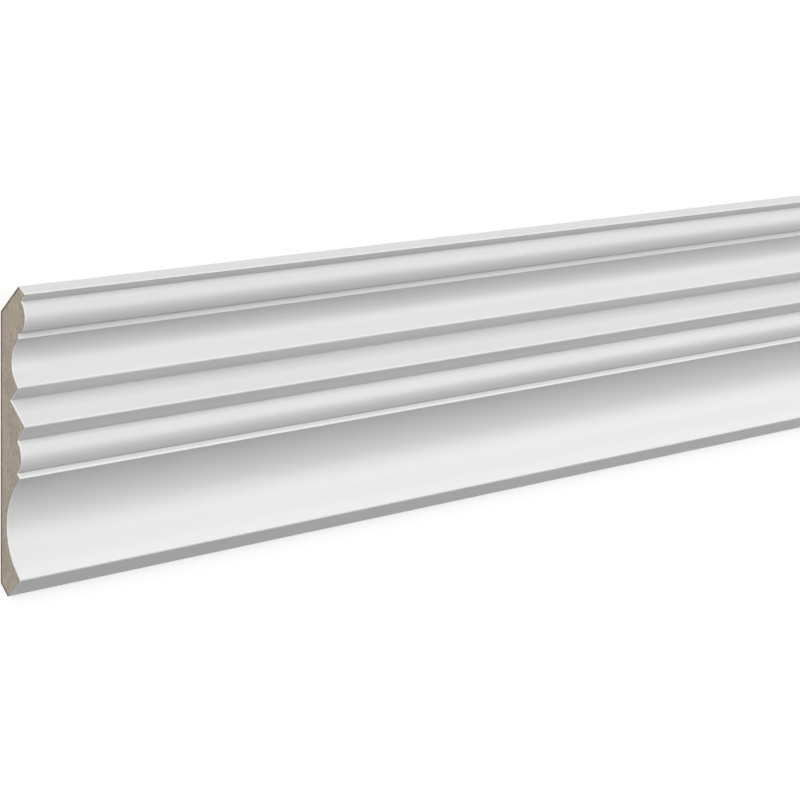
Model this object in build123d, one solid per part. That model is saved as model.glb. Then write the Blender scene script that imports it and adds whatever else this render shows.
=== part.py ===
from build123d import *
import os
from math import radians, tan

# A cornice moulding: one straight length of fibreboard, milled along its front and sawn square at both ends.
# It lies on its flat back, as it would on a level floor. X runs along the piece, Y across the face from the
# edge that meets the wall to the edge that meets the ceiling, and Z out of the back. All sizes are in mm.

# The stock that it is milled from
stock_length = 2440.0
board_thickness = 16.0

# The angle between the flat back and the wall once it is up. The bevels of both long edges follow it, and so
# do the faces that then stand upright or lie level.
spring_angle = 45.0

# Widths of the members, each measured flat across the face, from the ceiling edge down to the wall edge
lip_width = 2.8
lip_return_width = 3.2
upper_round_width = 12.7
quirk_width = 0.5
upper_fillet_width = 2.3
upper_cove_width = 19.9
upper_return_width = 6.0
fascia_width = 9.4
lower_return_width = 6.7
lower_round_width = 13.4
lower_fillet_width = 1.9
lower_cove_width = 42.6
nose_width = 8.6

# How far edges lie below the face of the board, square to the back
lip_setback = 4.2
upper_fillet_depth = 4.3
lower_round_depth = 4.85
nose_depth = 2.55

# How far the rounds stand out from, and the coves sink into, the straight line between their own edges
upper_round_rise = 2.4
upper_cove_hollow = 4.5
lower_round_rise = 2.6
lower_cove_hollow = 9.1

# The cutter leaves the arrises of the coves and the fascia soft and the narrow ones crisp, the tips sharp
soft_arris_radius = 1.0
crisp_arris_radius = 0.4


def rise_of_wall_face(width):
    """Rise of a face that stands upright once the moulding is up, over its width across the face."""
    return width * tan(radians(spring_angle))


def rise_of_ceiling_face(width):
    """Rise of a face that lies level once the moulding is up, over its width across the face."""
    return width / tan(radians(spring_angle))


def section():
    """The sawn end: the front from the ceiling tip down to the wall tip, then the two bevels and the back."""
    face_width = (
        lip_width + lip_return_width + upper_round_width + quirk_width + upper_fillet_width
        + upper_cove_width + upper_return_width + fascia_width + lower_return_width
        + lower_round_width + lower_fillet_width + lower_cove_width + nose_width
    )

    # Stations across the face, from the ceiling tip down
    tip_y = face_width / 2
    lip_y = tip_y - lip_width
    upper_round_top_y = lip_y - lip_return_width
    upper_round_end_y = upper_round_top_y - upper_round_width
    upper_fillet_top_y = upper_round_end_y - quirk_width
    upper_cove_top_y = upper_fillet_top_y - upper_fillet_width
    upper_cove_end_y = upper_cove_top_y - upper_cove_width
    fascia_top_y = upper_cove_end_y - upper_return_width
    fascia_end_y = fascia_top_y - fascia_width
    lower_round_top_y = fascia_end_y - lower_return_width
    lower_round_end_y = lower_round_top_y - lower_round_width
    lower_cove_top_y = lower_round_end_y - lower_fillet_width
    nose_y = lower_cove_top_y - lower_cove_width
    wall_tip_y = nose_y - nose_width

    # Heights above the back. The lip and the fascia reach the face of the board, and so does the upper round.
    tip_z = board_thickness - lip_setback
    upper_round_z = board_thickness - upper_round_rise
    upper_fillet_z = board_thickness - upper_fillet_depth
    fascia_top_z = board_thickness - rise_of_wall_face(fascia_width)
    lower_round_z = board_thickness - lower_round_depth
    lower_cove_z = lower_round_z + rise_of_wall_face(lower_fillet_width)
    nose_z = board_thickness - nose_depth
    wall_tip_z = nose_z - rise_of_ceiling_face(nose_width)

    # The long edges of the front, in the same order
    tip = (tip_y, tip_z)
    lip = (lip_y, board_thickness)
    upper_round_top = (upper_round_top_y, upper_round_z)
    upper_round_end = (upper_round_end_y, upper_round_z)
    upper_fillet_top = (upper_fillet_top_y, upper_fillet_z)
    upper_cove_top = (upper_cove_top_y, upper_fillet_z)
    upper_cove_end = (upper_cove_end_y, upper_fillet_z)
    fascia_top = (fascia_top_y, fascia_top_z)
    fascia_end = (fascia_end_y, board_thickness)
    lower_round_top = (lower_round_top_y, lower_round_z)
    lower_round_end = (lower_round_end_y, lower_round_z)
    lower_cove_top = (lower_cove_top_y, lower_cove_z)
    nose = (nose_y, nose_z)
    wall_tip = (wall_tip_y, wall_tip_z)

    # The back is flat between the bevel that lies on the ceiling and the one that lies on the wall
    back_high = (tip_y - rise_of_wall_face(tip_z), 0)
    back_low = (wall_tip_y + rise_of_ceiling_face(wall_tip_z), 0)

    with BuildSketch(Plane.YZ) as sawn_end:
        with BuildLine():
            Polyline(back_high, tip, lip, upper_round_top)
            SagittaArc(upper_round_top, upper_round_end, -upper_round_rise)
            Polyline(upper_round_end, upper_fillet_top, upper_cove_top)
            SagittaArc(upper_cove_top, upper_cove_end, upper_cove_hollow)
            Polyline(upper_cove_end, fascia_top, fascia_end, lower_round_top)
            SagittaArc(lower_round_top, lower_round_end, -lower_round_rise)
            Line(lower_round_end, lower_cove_top)
            SagittaArc(lower_cove_top, nose, lower_cove_hollow)
            Polyline(nose, wall_tip, back_low, back_high)
        make_face()
        ease(sawn_end, [upper_cove_end, fascia_end, nose], soft_arris_radius)
        ease(sawn_end, [lip, lower_cove_top], crisp_arris_radius)
    return sawn_end.sketch


def ease(sketch, arrises, radius):
    """Rounds off the corners of the section that lie at the given places."""
    corners = [sketch.vertices().sort_by_distance(place)[0] for place in arrises]
    fillet(corners, radius)


def cornice_moulding():
    """The whole piece: one section from sawn end to sawn end, centred on its length."""
    return extrude(section(), amount=stock_length / 2, both=True)


os.makedirs("parts", exist_ok=True)
export_step(cornice_moulding(), "parts/cornice_moulding.step")
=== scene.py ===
# %% [markdown]
# # A primed fibreboard cornice moulding
#
# The object is one straight length of stock. A cutter has run its section along a fibreboard strip, white
# primer has been sprayed on the milled front, and a saw has cut both ends square, which leaves the brown
# board bare there. So the lesson has one piece to model and two finishes for it: the primer, and the bare
# board of the ends, the bevels and the back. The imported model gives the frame: its place and its box.

# %% Load the frame
from math import atan, cos, hypot, pi, radians, sin

import bmesh
import bpy
from mathutils import Matrix, Vector
from mathutils.bvhtree import BVHTree


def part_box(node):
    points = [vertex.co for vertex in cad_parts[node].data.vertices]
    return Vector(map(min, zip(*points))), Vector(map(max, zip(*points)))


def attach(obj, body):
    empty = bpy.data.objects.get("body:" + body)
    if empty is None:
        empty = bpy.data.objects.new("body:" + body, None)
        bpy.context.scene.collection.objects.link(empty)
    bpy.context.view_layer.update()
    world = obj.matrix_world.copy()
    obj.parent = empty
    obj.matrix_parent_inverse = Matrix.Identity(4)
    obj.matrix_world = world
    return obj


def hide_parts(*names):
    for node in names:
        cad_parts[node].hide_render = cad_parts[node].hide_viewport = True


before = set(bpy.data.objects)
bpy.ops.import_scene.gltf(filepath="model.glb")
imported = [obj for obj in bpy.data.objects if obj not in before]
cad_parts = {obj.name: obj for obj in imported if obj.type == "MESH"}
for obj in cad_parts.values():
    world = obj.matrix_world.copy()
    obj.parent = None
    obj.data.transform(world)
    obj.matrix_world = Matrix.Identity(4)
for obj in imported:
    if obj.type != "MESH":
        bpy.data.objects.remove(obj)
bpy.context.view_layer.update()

NODE = "cornice_moulding"
BODY = "root"
MM = 0.001

node_low, node_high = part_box(NODE)
half_length = (node_high.x - node_low.x) / 2
stock_width = node_high.y - node_low.y
tip_y = node_high.y
board_face_z = node_high.z
print(f"stock {2 * half_length:.3f} m long, {stock_width:.3f} m wide, {board_face_z:.3f} m thick")

# %% [markdown]
# ## The members of the section
#
# A moulding is read as a row of members: lips, rounds, fillets, coves and a fascia. Each has a width across
# the face, and its edges lie at some depth under the face of the board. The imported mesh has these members
# too, but with few facets on its curves, so the sizes are given again here and drawn with fine ones. The
# box of the frame gives the thickness and the place of the ceiling tip, and the list starts from there.

# %% Sizes of the members, from the ceiling tip down to the wall tip
LIP_WIDTH = 2.8 * MM
LIP_RETURN_WIDTH = 3.2 * MM
UPPER_ROUND_WIDTH = 12.7 * MM
QUIRK_WIDTH = 0.5 * MM
UPPER_FILLET_WIDTH = 2.3 * MM
UPPER_COVE_WIDTH = 19.9 * MM
UPPER_RETURN_WIDTH = 6.0 * MM
FASCIA_WIDTH = 9.4 * MM
LOWER_RETURN_WIDTH = 6.7 * MM
LOWER_ROUND_WIDTH = 13.4 * MM
LOWER_FILLET_WIDTH = 1.9 * MM
LOWER_COVE_WIDTH = 42.6 * MM
NOSE_WIDTH = 8.6 * MM

LIP_SETBACK = 4.2 * MM
UPPER_ROUND_RISE = 2.4 * MM
UPPER_FILLET_DEPTH = 4.3 * MM
UPPER_COVE_HOLLOW = 4.5 * MM
LOWER_ROUND_DEPTH = 4.85 * MM
LOWER_ROUND_RISE = 2.6 * MM
LOWER_COVE_HOLLOW = 9.1 * MM
NOSE_DEPTH = 2.55 * MM

# Each member is (name, kind, width, height of its lower edge, rise of a round or hollow of a cove)
upper_round_z = board_face_z - UPPER_ROUND_RISE
upper_fillet_z = board_face_z - UPPER_FILLET_DEPTH
lower_round_z = board_face_z - LOWER_ROUND_DEPTH
nose_z = board_face_z - NOSE_DEPTH
wall_tip_z = nose_z - NOSE_WIDTH
MEMBERS = [
    ("lip", "flat", LIP_WIDTH, board_face_z, 0),
    ("lip return", "flat", LIP_RETURN_WIDTH, upper_round_z, 0),
    ("upper round", "round", UPPER_ROUND_WIDTH, upper_round_z, UPPER_ROUND_RISE),
    ("quirk", "flat", QUIRK_WIDTH, upper_fillet_z, 0),
    ("upper fillet", "flat", UPPER_FILLET_WIDTH, upper_fillet_z, 0),
    ("upper cove", "cove", UPPER_COVE_WIDTH, upper_fillet_z, UPPER_COVE_HOLLOW),
    ("upper return", "flat", UPPER_RETURN_WIDTH, board_face_z - FASCIA_WIDTH, 0),
    ("fascia", "flat", FASCIA_WIDTH, board_face_z, 0),
    ("lower return", "flat", LOWER_RETURN_WIDTH, lower_round_z, 0),
    ("lower round", "round", LOWER_ROUND_WIDTH, lower_round_z, LOWER_ROUND_RISE),
    ("lower fillet", "flat", LOWER_FILLET_WIDTH, lower_round_z + LOWER_FILLET_WIDTH, 0),
    ("lower cove", "cove", LOWER_COVE_WIDTH, nose_z, LOWER_COVE_HOLLOW),
    ("nose", "flat", NOSE_WIDTH, wall_tip_z, 0),
]
tip = Vector((0, tip_y, board_face_z - LIP_SETBACK))
back_high = Vector((0, tip_y - tip.z, 0))
back_low = Vector((0, node_low.y + wall_tip_z, 0))
print("members add up to", round(sum(member[2] for member in MEMBERS) / MM, 3), "mm")

# %% [markdown]
# ## Drawing the front with one edge
#
# The cutter makes the front by moving one outline along the board. The same shape can be had by the opposite
# move: one long edge walks round the outline and leaves a face behind it at every step. A flat member is an
# extrude, and a round or a cove is a spin about the centre of its arc. This keeps each member a clean strip
# from end to end, where a loft or a boolean would leave more to tidy. The start is the flat back, a plane.

# %% Helpers that select by place
NEAR = 0.004 * MM


def select_edges(piece, test):
    """Selects just the edges that pass the test, and says how many."""
    bpy.ops.mesh.select_all(action="DESELECT")
    mesh = bmesh.from_edit_mesh(piece.data)
    chosen = [edge for edge in mesh.edges if test(edge)]
    for edge in chosen:
        edge.select_set(True)
    bmesh.update_edit_mesh(piece.data)
    return len(chosen)


def off_line(vertex, place):
    """How far a vertex is from the long line at this place of the section."""
    return hypot(vertex.co.y - place.y, vertex.co.z - place.z)


def runs_along(edge, place):
    """True for an edge that runs the whole length at this place of the section."""
    return all(off_line(vertex, place) < NEAR for vertex in edge.verts)


# %% The flat back, as a plane that reaches from one end to the other
bpy.ops.object.select_all(action="DESELECT")
bpy.ops.mesh.primitive_plane_add(size=1, location=(0, 0, 0))
moulding = bpy.context.object
moulding.name = "primed_moulding"
moulding.data.name = "primed_moulding"
bpy.ops.object.mode_set(mode="EDIT")
bpy.ops.transform.resize(value=(2 * half_length, back_high.y - back_low.y, 1))
bpy.ops.transform.translate(value=(0, (back_high.y + back_low.y) / 2, 0))
bpy.ops.mesh.select_mode(type="EDGE")
start = select_edges(moulding, lambda edge: runs_along(edge, back_high))
print("edges on the ceiling side of the back:", start)

# %% Walk the edge round the front
FACET = 0.55 * MM


def step_to(place, end):
    """A flat member: the edge is extruded straight to its end."""
    bpy.ops.mesh.extrude_region_move(TRANSFORM_OT_translate={"value": end - place})


def swing_to(place, end, rise, outward):
    """A round or a cove: the edge is spun about the centre of the arc that joins the two places."""
    chord = end - place
    radius = (chord.length_squared / 4 + rise * rise) / (2 * rise)
    sweep = 4 * atan(2 * rise / chord.length)
    out = Vector((1, 0, 0)).cross(chord).normalized()
    if out.z < 0:
        out = -out
    side = -1 if outward else 1
    centre = (place + end) / 2 + out * side * (radius - rise)
    steps = round(radius * sweep / FACET)
    bpy.ops.mesh.spin(steps=steps, angle=side * sweep, center=centre, axis=(1, 0, 0))


step_to(back_high, tip)
place = tip
corners = {"tip": tip}
for name, kind, width, end_z, rise in MEMBERS:
    end = Vector((0, place.y - width, end_z))
    if kind == "flat":
        step_to(place, end)
    else:
        swing_to(place, end, rise, kind == "round")
    place = end
    corners[name] = end
step_to(place, back_low)

bpy.ops.mesh.select_all(action="SELECT")
bpy.ops.mesh.remove_doubles(threshold=NEAR)
mesh = bmesh.from_edit_mesh(moulding.data)
print("strips after the walk:", len(mesh.faces), "open edges:", sum(edge.is_boundary for edge in mesh.edges))

# %% [markdown]
# ## Room for the soft arrises
#
# Two coves end at an arris that will be rounded by about a millimetre, and their strips are only half as
# wide. A bevel that is wider than the strip beside it stops short or folds over. So the line between the last
# two strips of each cove is dissolved first, which changes the arc by about a hundredth of a millimetre.

# %% Dissolve the line next to each soft arris of a cove
COVES = ["upper cove", "lower cove"]
ROOM = 1.05 * MM


def is_in_the_way(edge):
    """True for a long line within reach of a cove's soft arris, but not on it."""
    return any(all(NEAR < off_line(vertex, corners[name]) < ROOM for vertex in edge.verts) for name in COVES)


print("lines in the way of a soft arris:", select_edges(moulding, is_in_the_way))
bpy.ops.mesh.dissolve_edges(use_verts=True)

# %% [markdown]
# ## The sawn ends
#
# A saw cuts the length square, so each end is one flat face with the outline of the section. The walk has
# left that outline open, and filling it gives the face. A narrow inset then sets a rim apart. It keeps the
# large many-sided face away from the edges that get rounded next, so that rounding them can't fold it.

# %% Close both ends and set a rim apart
RIM_WIDTH = 0.45 * MM
ENDS = (-half_length, half_length)


def on_end(edge, end_x):
    """True for an edge that lies flat on the sawn end at this place."""
    return all(abs(vertex.co.x - end_x) < NEAR for vertex in edge.verts)


for end_x in ENDS:
    outline = select_edges(moulding, lambda edge: on_end(edge, end_x))
    bpy.ops.mesh.edge_face_add()
    bpy.ops.mesh.inset(thickness=RIM_WIDTH, depth=0, use_even_offset=True)
    print("edges round the end at", round(end_x, 2), "m:", outline)

# %% [markdown]
# ## Easing the arrises
#
# No milled edge is perfectly sharp, and the primer rounds it further. On this moulding the arrises of the
# coves and of the fascia are soft, about a millimetre, and catch a bright line of light. The lip, the lower
# fillet and the two tips are crisper. A bevel with a few segments on just those long edges does it, and the
# edges are found by the places that the walk wrote down. The sawn ends get one too, where the primer stops.

# %% Bevel the long arrises
SOFT_ARRIS = 1.0 * MM
CRISP_ARRIS = 0.25 * MM
TIP_ARRIS = 0.2 * MM
ARRIS_SEGMENTS = 5


def ease_arris(place, radius):
    """Rounds off the long edge at this place, and says how many edges it found there."""
    found = select_edges(moulding, lambda edge: runs_along(edge, place))
    mesh = bmesh.from_edit_mesh(moulding.data)
    edge = next(edge for edge in mesh.edges if edge.select)
    half_turn = edge.calc_face_angle(pi / 2) / 2
    reach = radius * sin(half_turn) / cos(half_turn)
    bpy.ops.mesh.bevel(offset=reach, offset_type="OFFSET", segments=ARRIS_SEGMENTS, affect="EDGES")
    return found


for name in ("upper cove", "fascia", "lower cove"):
    print("soft arris at the end of the", name, ease_arris(corners[name], SOFT_ARRIS))
for name in ("lip", "lower fillet"):
    print("crisp arris at the end of the", name, ease_arris(corners[name], CRISP_ARRIS))
for name in ("tip", "nose"):
    print("tip of the stock at the", name, ease_arris(corners[name], TIP_ARRIS))

# %% Bevel the edges of both sawn ends, then leave edit mode
SAWN_ARRIS = 0.15 * MM
SAWN_SEGMENTS = 2
TURNED_ENDWISE = 0.5
LITRES_PER_CUBIC_METRE = 1000


def round_the_end(edge):
    """True for an edge between a sawn end and the long faces."""
    at_an_end = any(on_end(edge, end_x) for end_x in ENDS)
    meets_long_face = any(abs(face.normal.x) < TURNED_ENDWISE for face in edge.link_faces)
    return at_an_end and edge.is_manifold and meets_long_face


def folded_over(face):
    """True for a face near an end that looks back along the stock instead of out of it."""
    return face.normal.x * face.calc_center_median().x < -TURNED_ENDWISE * half_length


print("edges round the sawn ends:", select_edges(moulding, round_the_end))
bpy.ops.mesh.bevel(
    offset=SAWN_ARRIS, offset_type="OFFSET", segments=SAWN_SEGMENTS, affect="EDGES", clamp_overlap=False
)
bpy.ops.mesh.select_all(action="SELECT")
bpy.ops.mesh.normals_make_consistent(inside=False)
mesh = bmesh.from_edit_mesh(moulding.data)
print("faces:", len(mesh.faces), "open edges:", sum(not edge.is_manifold for edge in mesh.edges))
print("faces folded over at the ends:", sum(folded_over(face) for face in mesh.faces))
print("volume in litres:", round(mesh.calc_volume() * LITRES_PER_CUBIC_METRE, 4))
bpy.ops.object.mode_set(mode="OBJECT")

# %% [markdown]
# ## Which faces are primed
#
# Primer is sprayed from the front before the stock is cut to length, so it covers the milled face down to the
# two tips. The two bevels behind the tips, the flat back and the sawn ends stay bare. On the mesh that is a
# question of which way a face looks, so two material slots and one test do it. Painting one mask over the
# whole piece would also work, but a slot gives the coat a clean edge in every view. The rims of the ends get
# a mark of their own, an attribute, which the finish of the bare board reads later.

# %% Two material slots by the way a face looks
PRIMED, BARE = 0, 1
LOOKS_BACK = -0.3
LOOKS_ENDWISE = 0.8

for face in moulding.data.polygons:
    endwise = abs(face.normal.x) > LOOKS_ENDWISE
    face.material_index = BARE if endwise or face.normal.z < LOOKS_BACK else PRIMED
primed_area = sum(face.area for face in moulding.data.polygons if face.material_index == PRIMED)
print("primed area in square metres:", round(primed_area, 4))

# %% A mark on the rims of both ends
FLAT_ENDWISE = 0.99

rim = moulding.data.attributes.new("rim", "FLOAT", "FACE")
for face in moulding.data.polygons:
    rim.data[face.index].value = abs(face.normal.x) > FLAT_ENDWISE and len(face.vertices) == 4
print("faces in the rims of the ends:", sum(mark.value > 0 for mark in rim.data))

# %% [markdown]
# ## Smooth curves between flat faces
#
# The rounds and coves are rows of narrow strips. Smooth shading hides the steps, and edges sharper than a
# limit stay sharp. A weighted normal then favours the large faces, so the fascia and the flat returns stay
# truly flat next to their rounded arrises, where plain smoothing would bend the light over them.

# %% Shade by angle and weigh the normals
CREASE = radians(28)

bpy.ops.object.shade_smooth_by_angle(angle=CREASE)
weigh = moulding.modifiers.new("even_normals", "WEIGHTED_NORMAL")
weigh.keep_sharp = True
bpy.ops.object.modifier_apply(modifier=weigh.name)
sharp = sum(edge.use_edge_sharp for edge in moulding.data.edges)
print("edges kept sharp:", sharp, "of", len(moulding.data.edges))

# %% [markdown]
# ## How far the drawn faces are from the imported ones
#
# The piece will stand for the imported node, so it must lie where the node lies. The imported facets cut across
# each arc by less than a tenth of a millimetre, and the rounded arrises differ by no more. A larger gap than
# that would be a mistake in a width or a depth, and this is the cheapest place to find it.

# %% Measure the fit
packed = BVHTree.FromObject(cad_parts[NODE], bpy.context.evaluated_depsgraph_get())
gaps = [packed.find_nearest(v.co)[3] for v in moulding.data.vertices]
print("furthest from the packed surface, mm:", round(max(gaps) / MM, 3))

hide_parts(NODE)
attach(moulding, BODY)

# %% [markdown]
# ## Building a finish from nodes
#
# Both finishes are made of the same few moves: noise that is stretched one way, a colour that it steers and a
# small bump. Short helpers keep the two recipes readable. Everything reads Object coordinates, in metres, so
# the grain has one scale on every face and stays put when the piece is seen from elsewhere. A noise keeps
# close to a half. So a range on both sides of that gives soft clouds, and a narrow one well above or below it
# leaves only specks.

# %% Helpers for node recipes
class Recipe:
    """A material under construction, with helpers that add one node or two and wire them up."""

    def __init__(self, name):
        self.material = bpy.data.materials.new(name)
        self.material.use_nodes = True
        self.tree = self.material.node_tree
        self.shader = self.tree.nodes["Principled BSDF"]
        self.place = self.tree.nodes.new("ShaderNodeTexCoord").outputs["Object"]

    def wire(self, socket, value):
        """Gives an input either a constant or another node's output."""
        if isinstance(value, bpy.types.NodeSocket):
            self.tree.links.new(value, socket)
        else:
            socket.default_value = value

    def noise(self, cells_per_metre, detail=2.0, rough=0.5):
        """Noise whose grain may be finer one way: cells for each metre along X, Y and Z."""
        mapping = self.tree.nodes.new("ShaderNodeMapping")
        self.wire(mapping.inputs["Vector"], self.place)
        mapping.inputs["Scale"].default_value = cells_per_metre
        grain = self.tree.nodes.new("ShaderNodeTexNoise")
        grain.inputs["Scale"].default_value = 1.0
        grain.inputs["Detail"].default_value = detail
        grain.inputs["Roughness"].default_value = rough
        self.wire(grain.inputs["Vector"], mapping.outputs["Vector"])
        return grain.outputs["Fac"]

    def remap(self, value, low, high, to_low=0.0, to_high=1.0):
        """Stretches the part of a value between low and high over a new range, and clamps the rest."""
        node = self.tree.nodes.new("ShaderNodeMapRange")
        for name, amount in (("From Min", low), ("From Max", high), ("To Min", to_low), ("To Max", to_high)):
            node.inputs[name].default_value = amount
        self.wire(node.inputs["Value"], value)
        return node.outputs["Result"]

    def fade(self, distance, reach, full=0.0):
        """One up to the distance that is still full, and nought from the reach on."""
        return self.remap(distance, full, reach, 1.0, 0.0)

    def maths(self, operation, first, second):
        """One arithmetic step between two values."""
        node = self.tree.nodes.new("ShaderNodeMath")
        node.operation = operation
        self.wire(node.inputs[0], first)
        self.wire(node.inputs[1], second)
        return node.outputs["Value"]

    def part(self, vector, name):
        """One part of a vector: X, Y or Z."""
        node = self.tree.nodes.new("ShaderNodeSeparateXYZ")
        self.wire(node.inputs["Vector"], vector)
        return node.outputs[name]

    def axis(self, name):
        """The distance along one axis, in metres."""
        return self.part(self.place, name)

    def facing(self, name):
        """How far the surface faces along one axis, from -1 to 1."""
        return self.part(self.place.node.outputs["Normal"], name)

    def distance(self, vector, point):
        """How far a vector is from one fixed point, in metres."""
        node = self.tree.nodes.new("ShaderNodeVectorMath")
        node.operation = "DISTANCE"
        self.wire(node.inputs[0], vector)
        node.inputs[1].default_value = point
        return node.outputs["Value"]

    def blend(self, share, first, second, kind="MIX"):
        """A colour between two colours, or one laid over the other."""
        node = self.tree.nodes.new("ShaderNodeMix")
        node.data_type = "RGBA"
        node.blend_type = kind
        self.wire(node.inputs["Factor"], share)
        self.wire(node.inputs["A"], first)
        self.wire(node.inputs["B"], second)
        return node.outputs["Result"]

    def shade(self, colour, factor):
        """A colour made darker or paler by a factor, such as a noise around one."""
        return self.blend(1.0, colour, factor, "MULTIPLY")

    def cover(self, below, colour, mask, share):
        """A colour laid over the one below where the mask is, with this share of it at most."""
        return self.blend(self.maths("MULTIPLY", mask, share), below, colour)

    def bump(self, height, depth, below=None):
        """A relief of the given depth in metres, on top of another one if there is one below."""
        node = self.tree.nodes.new("ShaderNodeBump")
        node.inputs["Strength"].default_value = 1.0
        node.inputs["Distance"].default_value = depth
        self.wire(node.inputs["Height"], height)
        if below is not None:
            self.wire(node.inputs["Normal"], below)
        return node.outputs["Normal"]


def grey(level, warmth=0.0):
    """A near-grey colour, a little redder than it is blue."""
    return (level * (1 + warmth), level, level * (1 - warmth), 1.0)


# %% [markdown]
# ## The white primer
#
# The coat is a sprayed primer: white, a touch warm, and neither matt nor glossy. Close up it shows a fine
# orange peel, faint lines along the length from sanding, a few specks of dust under the paint, and broad
# clouds where the coat is thicker. Each of these is one noise of its own size. They stay faint, because new
# stock looks plain from a step away, and a strong pattern would make it look like stone.

# %% Clouds, sanding lines and dust
PRIMER_WHITE = 0.87
FULL_WHITE = grey(PRIMER_WHITE, 0.001)
CLOUDED_WHITE = grey(PRIMER_WHITE * 0.985, 0.004)
SANDED_SHADE = 0.985
DUST, DUST_SHARE = grey(0.55, 0.06), 0.18

primer = Recipe("white_primer")
clouds = primer.noise((9, 45, 45), detail=3)
sanding = primer.noise((14, 2600, 2600), detail=2)
peel = primer.noise((950, 950, 950), detail=1)
dust = primer.noise((1500, 1500, 1500), detail=0)
patches = primer.noise((160, 160, 160), detail=4)

white = primer.blend(primer.remap(clouds, 0.3, 0.7), CLOUDED_WHITE, FULL_WHITE)
white = primer.shade(white, primer.remap(sanding, 0.25, 0.75, SANDED_SHADE, 1.0))
specks = primer.remap(dust, 0.80, 0.84)
white = primer.cover(white, DUST, specks, DUST_SHARE)
print("nodes in the primer so far:", len(primer.tree.nodes))

# %% [markdown]
# ## Painted shade and painted highlight on the primer
#
# The primer's white is darkened in the inner corners, and most of all along the undercut line at the foot of
# each round where it faces the wall: this is painted shade, where those corners lie in shadow. The white is
# made paler in a fine line beside the arrises on the side that faces the ceiling, on the narrow ledge of the
# upper fillet and beside the sawn ends, and over the outer slope of the wide cove: this is painted highlight.
# A mask could be painted for this, but the section already has names for its corners, and a distance from a
# few of them says the same for any length of stock.

# %% Distances from the corners of the section and from the ends
ARRISES = ["tip", "lip", "upper cove", "fascia", "lower fillet", "lower cove", "nose"]
HIGHLIGHTED_ARRISES = ["lip", "upper cove", "fascia", "lower fillet", "lower cove"]
FEET_OF_ROUNDS = ["upper round", "lower round"]
LEDGE_CORNERS = ["quirk", "upper fillet"]
ACROSS_ONLY = (0, 1, 1)
FAR_OFF = 1.0


def distance_from(recipe, names):
    """How far a point of the section is from the nearest of these corners, in metres."""
    flatten = recipe.tree.nodes.new("ShaderNodeVectorMath")
    flatten.operation = "MULTIPLY"
    recipe.wire(flatten.inputs[0], recipe.place)
    flatten.inputs[1].default_value = ACROSS_ONLY
    nearest = FAR_OFF
    for name in names:
        away = recipe.distance(flatten.outputs["Vector"], corners[name])
        nearest = recipe.maths("MINIMUM", away, nearest)
    return nearest


def distance_from_ends(recipe):
    """How far a point is from the nearer sawn end, in metres."""
    return recipe.maths("SUBTRACT", half_length, recipe.maths("ABSOLUTE", recipe.axis("X"), 0.0))


# %% Painted shade in the inner corners and along the foot of each round
# Each inner corner: the share of the white left by the painted shade, and the distance at which all is back
SHADED_CORNERS = {
    "lip return": (0.77, 2.4 * MM),
    "lower return": (0.80, 2.4 * MM),
    "lower round": (0.84, 2.6 * MM),
    "upper return": (0.74, 7.0 * MM),
}
FOOT_SHADE, FOOT_REACH = 0.64, 1.2 * MM
TURNED_ASIDE = 0.3

for name, (share_left, reach) in SHADED_CORNERS.items():
    white = primer.shade(white, primer.remap(distance_from(primer, [name]), 0.0, reach, share_left, 1.0))

# Painted shade: the wall-facing foot of each round is darkened as if it lay in shadow.
faces_wall = primer.remap(primer.facing("Y"), 0.0, -TURNED_ASIDE)
at_foot = primer.fade(distance_from(primer, FEET_OF_ROUNDS), FOOT_REACH)
foot_shadow = primer.maths("MULTIPLY", at_foot, faces_wall)
white = primer.shade(white, primer.remap(foot_shadow, 0.0, 1.0, 1.0, FOOT_SHADE))
print("nodes in the primer so far:", len(primer.tree.nodes))

# %% Painted highlight beside the arrises and the ends, on the ledge and on the slope of the wide cove
PAINTED_HIGHLIGHT, HIGHLIGHT_WIDTH = grey(0.97, 0.001), 1.1 * MM
LEDGE_REACH = 1.5 * MM
LEDGE_FADE = 1.2 * LEDGE_REACH
SLOPING, LEVEL = 0.88, 0.96
LIT_SLOPE_REACH = 20 * MM

# Painted highlight: a paler white on the lit side of the arrises, on the ledge, beside the ends and on the wide
# cove's slope.
faces_ceiling = primer.remap(primer.facing("Y"), 0.0, TURNED_ASIDE)
beside_arris = primer.fade(distance_from(primer, HIGHLIGHTED_ARRISES), HIGHLIGHT_WIDTH, full=HIGHLIGHT_WIDTH / 2)
lit_slope = primer.fade(distance_from(primer, ["lower cove"]), LIT_SLOPE_REACH)
painted_light_mask = primer.maths("MULTIPLY", primer.maths("MAXIMUM", beside_arris, lit_slope), faces_ceiling)

lies_level = primer.remap(primer.facing("Z"), SLOPING, LEVEL)
on_ledge = primer.fade(distance_from(primer, LEDGE_CORNERS), LEDGE_FADE, full=LEDGE_REACH)
painted_light_mask = primer.maths("MAXIMUM", painted_light_mask, primer.maths("MULTIPLY", on_ledge, lies_level))

end_distance = distance_from_ends(primer)
beside_end = primer.fade(end_distance, HIGHLIGHT_WIDTH, full=HIGHLIGHT_WIDTH / 2)
white = primer.blend(primer.maths("MAXIMUM", painted_light_mask, beside_end), white, PAINTED_HIGHLIGHT)
print("nodes in the primer so far:", len(primer.tree.nodes))

# %% [markdown]
# ## Handling marks and gloss
#
# Stock is stacked and carried, so its arrises are rubbed. In patches the coat is thin enough there for the
# board to show through, and the edges of the ends have lost a few chips. The rubbed paint is also a little
# glossier. The relief is made of the same noises as the colour and the gloss, so that a speck has its shadow
# where it is.

# %% Wear on the arrises and chips at the ends
WORN, WORN_SHARE, WORN_REACH = (0.70, 0.64, 0.55, 1), 0.16, 1.3 * MM
CHIP, CHIP_SHARE = (0.50, 0.42, 0.34, 1), 0.55
END_REACH = 0.5 * MM

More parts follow.
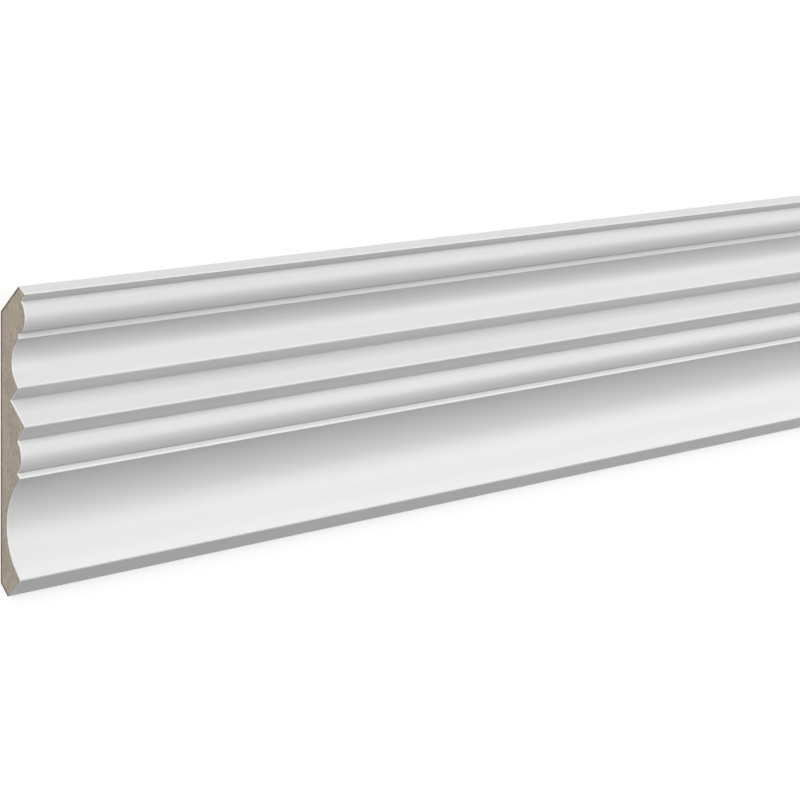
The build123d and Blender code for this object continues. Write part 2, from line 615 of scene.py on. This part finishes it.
rubbed = primer.fade(distance_from(primer, ARRISES), WORN_REACH)
thin_coat = primer.maths("MULTIPLY", rubbed, primer.remap(patches, 0.5, 0.72))
white = primer.cover(white, WORN, thin_coat, WORN_SHARE)
at_edge = primer.fade(end_distance, END_REACH)
chips = primer.maths("MULTIPLY", at_edge, primer.remap(patches, 0.52, 0.6))
white = primer.cover(white, CHIP, chips, CHIP_SHARE)
primer.wire(primer.shader.inputs["Base Color"], white)
print("nodes in the primer so far:", len(primer.tree.nodes))

# %% Gloss and relief of the primer
SATIN, DULL = 0.36, 0.42
RUBBED_SMOOTHER = 0.06
SANDING_DEPTH, PEEL_DEPTH, DUST_HEIGHT = 0.004 * MM, 0.012 * MM, 0.03 * MM

roughness = primer.remap(peel, 0.3, 0.7, SATIN, DULL)
roughness = primer.maths("SUBTRACT", roughness, primer.maths("MULTIPLY", rubbed, RUBBED_SMOOTHER))
primer.wire(primer.shader.inputs["Roughness"], roughness)
relief = primer.bump(sanding, SANDING_DEPTH)
relief = primer.bump(peel, PEEL_DEPTH, relief)
relief = primer.bump(specks, DUST_HEIGHT, relief)
primer.wire(primer.shader.inputs["Normal"], relief)
print("nodes in the primer:", len(primer.tree.nodes))

# %% [markdown]
# ## The bare fibreboard
#
# Fibreboard is wood ground to fluff and pressed flat, so it has no grain. Its fibres lie every which way in
# the plane of the board, and thinly across it. One noise that is fine across the thickness and coarser along
# the other two axes therefore suits every cut: even on the back, streaky on the sawn ends and the bevels.
# The skins of the board were pressed harder and are a little darker, and dark and pale flecks are bark and
# single fibres.

# %% Mix the bare board
BOARD = (0.527, 0.448, 0.360, 1)
BOARD_GREY = (0.460, 0.405, 0.337, 1)
FIBRE_SHADES = (0.76, 1.22)
FLUFF_SHADES = (0.84, 1.16)
BARK, PALE_FIBRE, FLECK_SHARE = (0.19, 0.13, 0.09, 1), (0.66, 0.57, 0.46, 1), 0.5

bare = Recipe("bare_fibreboard")
clouds = bare.noise((70, 70, 130), detail=3)
fibres = bare.noise((520, 520, 1700), detail=3, rough=0.65)
fluff = bare.noise((1500, 1500, 3800), detail=2, rough=0.6)
flecks = bare.noise((900, 900, 2600), detail=1)

brown = bare.blend(bare.remap(clouds, 0.35, 0.65), BOARD_GREY, BOARD)
brown = bare.shade(brown, bare.remap(fibres, 0.25, 0.75, *FIBRE_SHADES))
brown = bare.shade(brown, bare.remap(fluff, 0.25, 0.75, *FLUFF_SHADES))
brown = bare.blend(bare.remap(flecks, 0.70, 0.78, 0.0, FLECK_SHARE), brown, BARK)
brown = bare.blend(bare.remap(flecks, 0.30, 0.22, 0.0, FLECK_SHARE), brown, PALE_FIBRE)
print("nodes in the bare board so far:", len(bare.tree.nodes))

# %% The darker skins of the board
SKIN, SKIN_SHARE, SKIN_DEPTH = (0.33, 0.27, 0.21, 1), 0.4, 1.6 * MM

depth = bare.axis("Z")
back_skin = bare.fade(depth, SKIN_DEPTH)
face_skin = bare.remap(depth, board_face_z - SKIN_DEPTH, board_face_z)
brown = bare.cover(brown, SKIN, bare.maths("MAXIMUM", back_skin, face_skin), SKIN_SHARE)
print("nodes in the bare board so far:", len(bare.tree.nodes))

# %% [markdown]
# ## What the saw and the spray gun left on it
#
# Along the bare sides of a sawn end the cut shows as a thin dark line, where the blade rubbed the hard skin
# of the board. The blade also leaves faint arcs. Both belong to the flat ends alone, so they are held there
# by the distance from the end. The rest of the outline is only a little darker, and the marked rim shows
# where. On the two bevels behind the tips the primer's mist fades out over a few millimetres, in specks. All
# but the rim are worked out from the place of a point, so they need no extra faces.

# %% The dark line along the bare sides, and the rim
SCORCH, SCORCH_SHARE, SCORCH_WIDTH = (0.10, 0.08, 0.06, 1), 0.75, 0.75 * MM
SCORCH_FADE = 1.5 * SCORCH_WIDTH
RIM, RIM_SHARE = (0.22, 0.18, 0.14, 1), 0.4
BEVEL_ANGLE = radians(45)

at_end = bare.fade(distance_from_ends(bare), END_REACH)
below_ceiling_bevel = bare.maths("SUBTRACT", bare.maths("ADD", depth, back_high.y), bare.axis("Y"))
above_wall_bevel = bare.maths("SUBTRACT", bare.maths("ADD", depth, bare.axis("Y")), back_low.y)
from_bevels = bare.maths("MINIMUM", below_ceiling_bevel, above_wall_bevel)
from_bevels = bare.maths("MULTIPLY", from_bevels, cos(BEVEL_ANGLE))
scorch = bare.fade(bare.maths("MINIMUM", depth, from_bevels), SCORCH_FADE, full=SCORCH_WIDTH)
scorch = bare.maths("MULTIPLY", scorch, at_end)
brown = bare.cover(brown, SCORCH, scorch, SCORCH_SHARE)
rim_mark = bare.tree.nodes.new("ShaderNodeAttribute")
rim_mark.attribute_name = "rim"
brown = bare.cover(brown, RIM, rim_mark.outputs["Fac"], RIM_SHARE)
print("nodes in the bare board so far:", len(bare.tree.nodes))

# %% The arcs of the blade
SAW_CENTRE = (0, -0.09, -0.12)
SAW_MARKS_PER_METRE = 850
SAW_SHADES = (0.97, 1.03)

from_blade = bare.distance(bare.place, SAW_CENTRE)
arcs = bare.maths("SINE", bare.maths("MULTIPLY", from_blade, SAW_MARKS_PER_METRE * 2 * pi), 0.0)
arcs = bare.maths("MULTIPLY", arcs, at_end)
brown = bare.shade(brown, bare.remap(arcs, -1.0, 1.0, *SAW_SHADES))
print("nodes in the bare board so far:", len(bare.tree.nodes))

# %% The mist of primer on the bevels
MIST, MIST_SHARE, MIST_REACH = grey(PRIMER_WHITE * 0.95), 0.75, 3.5 * MM

off_ceiling_tip = bare.maths("SUBTRACT", tip_y, bare.axis("Y"))
off_wall_tip = bare.maths("ADD", bare.axis("Y"), tip_y)
off_tips = bare.maths("MINIMUM", off_ceiling_tip, off_wall_tip)
mist = bare.remap(off_tips, 0.0, MIST_REACH, MIST_SHARE, 0.0)
mist = bare.maths("MULTIPLY", mist, bare.remap(fluff, 0.42, 0.6))
mist = bare.maths("MULTIPLY", mist, bare.maths("SUBTRACT", 1.0, at_end))
brown = bare.blend(mist, brown, MIST)
bare.wire(bare.shader.inputs["Base Color"], brown)
print("nodes in the bare board so far:", len(bare.tree.nodes))

# %% Relief and roughness of the board, and both materials on the piece
SAW_DEPTH, FIBRE_DEPTH, FLUFF_DEPTH = 0.01 * MM, 0.05 * MM, 0.02 * MM
HOLLOWS_ROUGH, FIBRES_ROUGH = 0.95, 0.82

relief = bare.bump(arcs, SAW_DEPTH)
relief = bare.bump(fibres, FIBRE_DEPTH, relief)
relief = bare.bump(fluff, FLUFF_DEPTH, relief)
bare.wire(bare.shader.inputs["Normal"], relief)
bare.wire(bare.shader.inputs["Roughness"], bare.remap(fibres, 0.3, 0.7, HOLLOWS_ROUGH, FIBRES_ROUGH))

moulding.data.materials.append(primer.material)
moulding.data.materials.append(bare.material)
print("materials:", [material.name for material in moulding.data.materials])

# %% [markdown]
# ## The camera
#
# The stock lies on its flat back, and the camera looks down on it from beyond one end with a long lens, which
# keeps the far edges nearly parallel. Its place and its turn are set from three vectors: where it stands,
# what it looks at, and which way is up in the picture. A track constraint is the usual way, but it can't roll
# the camera, and here the picture's up is across the stock.

# %% Place the camera
EYE = Vector((-1.86012, 0.24736, 0.87192))
AIM = Vector((-0.99172, -0.01214, 0.00002))
UP = Vector((0.12347, 0.97799, -0.16817))
SENSOR_MM, LENS_MM = 36, 121.5
FARTHEST_SEEN = 50

camera = bpy.data.objects.new("camera", bpy.data.cameras.new("camera"))
bpy.context.collection.objects.link(camera)
backward = (EYE - AIM).normalized()
rightward = UP.cross(backward).normalized()
upward = backward.cross(rightward)
turn = Matrix((rightward, upward, backward)).transposed()
camera.matrix_world = Matrix.Translation(EYE) @ turn.to_4x4()
camera.data.sensor_width = SENSOR_MM
camera.data.lens = LENS_MM
camera.data.clip_end = FARTHEST_SEEN
bpy.context.scene.camera = camera
print("camera to aim:", round((EYE - AIM).length, 3), "m")

# %% [markdown]
# ## Light, floor and background
#
# The milled face is read by how its members turn from light to shade. The main lamp is soft and stands to the
# ceiling side and to the camera's end, so that the sawn end is lit as well. A weaker one stands past the far
# end: satin paint throws it back towards the camera, which draws the pale sheen along the rounds and arrises.
# Suns with a wide angle do for both, because they light a long piece alike from end to end, where a panel
# close by would fade along it. The floor is grey and glows white for the rays that see it, so that it turns
# into the background and keeps only a faint shadow.

# %% Two soft suns
KEY_TOWARDS = Vector((-0.643, 0.551, 0.532))
KEY_ENERGY = 2.42
KEY_ANGLE = radians(45)
SHEEN_TOWARDS = Vector((0.682, 0.064, 0.729))
SHEEN_ENERGY = 0.94
SHEEN_ANGLE = radians(30)


def soft_sun(name, towards, energy, angle):
    """A sun that shines from the given direction, wide enough for soft shadows."""
    sun = bpy.data.objects.new(name, bpy.data.lights.new(name, "SUN"))
    bpy.context.collection.objects.link(sun)
    sun.rotation_euler = towards.to_track_quat("Z", "Y").to_euler()
    sun.data.energy = energy
    sun.data.angle = angle


soft_sun("key_sun", KEY_TOWARDS, KEY_ENERGY, KEY_ANGLE)
soft_sun("sheen_sun", SHEEN_TOWARDS, SHEEN_ENERGY, SHEEN_ANGLE)
print("lamps:", [light.name for light in bpy.data.lights])

# %% A world that is white to look at and lights only faintly
WHITE = (1, 1, 1, 1)
FILL, BACKDROP = 0.05, 1.0


def seen_directly(tree):
    """One for rays from the camera, from glossy surfaces and through glass, nought for the rest."""
    rays = tree.nodes.new("ShaderNodeLightPath")
    total = rays.outputs["Is Camera Ray"]
    for name in ("Is Glossy Ray", "Is Transmission Ray"):
        node = tree.nodes.new("ShaderNodeMath")
        node.operation = "MAXIMUM"
        tree.links.new(total, node.inputs[0])
        tree.links.new(rays.outputs[name], node.inputs[1])
        total = node.outputs["Value"]
    return total


def strength_by_ray(tree, unseen, seen):
    """One strength for the light that falls on other things, and another for the rays that look at it."""
    node = tree.nodes.new("ShaderNodeMapRange")
    node.inputs["To Min"].default_value = unseen
    node.inputs["To Max"].default_value = seen
    tree.links.new(seen_directly(tree), node.inputs["Value"])
    return node.outputs["Result"]


world = bpy.data.worlds.new("white_room")
world.use_nodes = True
bpy.context.scene.world = world
sky = world.node_tree.nodes["Background"]
sky.inputs["Color"].default_value = WHITE
world.node_tree.links.new(strength_by_ray(world.node_tree, FILL, BACKDROP), sky.inputs["Strength"])
print("world:", world.name, "fill:", FILL)

# %% The floor
FLOOR_SIZE = 24
FLOOR_DROP = 0.2 * MM
FLOOR_GREY = 0.5
FLOOR_GLOW = 0.7

bpy.ops.object.select_all(action="DESELECT")
bpy.ops.mesh.primitive_plane_add(size=FLOOR_SIZE, location=(0, 0, -FLOOR_DROP))
floor = bpy.context.object
floor.name = "pale_floor"
pale = bpy.data.materials.new("pale_floor")
pale.use_nodes = True
shader = pale.node_tree.nodes["Principled BSDF"]
shader.inputs["Base Color"].default_value = grey(FLOOR_GREY)
shader.inputs["Roughness"].default_value = 1.0
shader.inputs["Specular IOR Level"].default_value = 0.0
shader.inputs["Emission Color"].default_value = WHITE
pale.node_tree.links.new(strength_by_ray(pale.node_tree, 0.0, FLOOR_GLOW), shader.inputs["Emission Strength"])
floor.data.materials.append(pale)
print("floor:", floor.name, "under the piece by", round(FLOOR_DROP / MM, 3), "mm")

# %% [markdown]
# ## The view transform
#
# The picture is shown as it is worked out, with no filmic curve, so that a written colour comes out as
# itself.

# %% View transform
bpy.context.scene.view_settings.view_transform = "Standard"
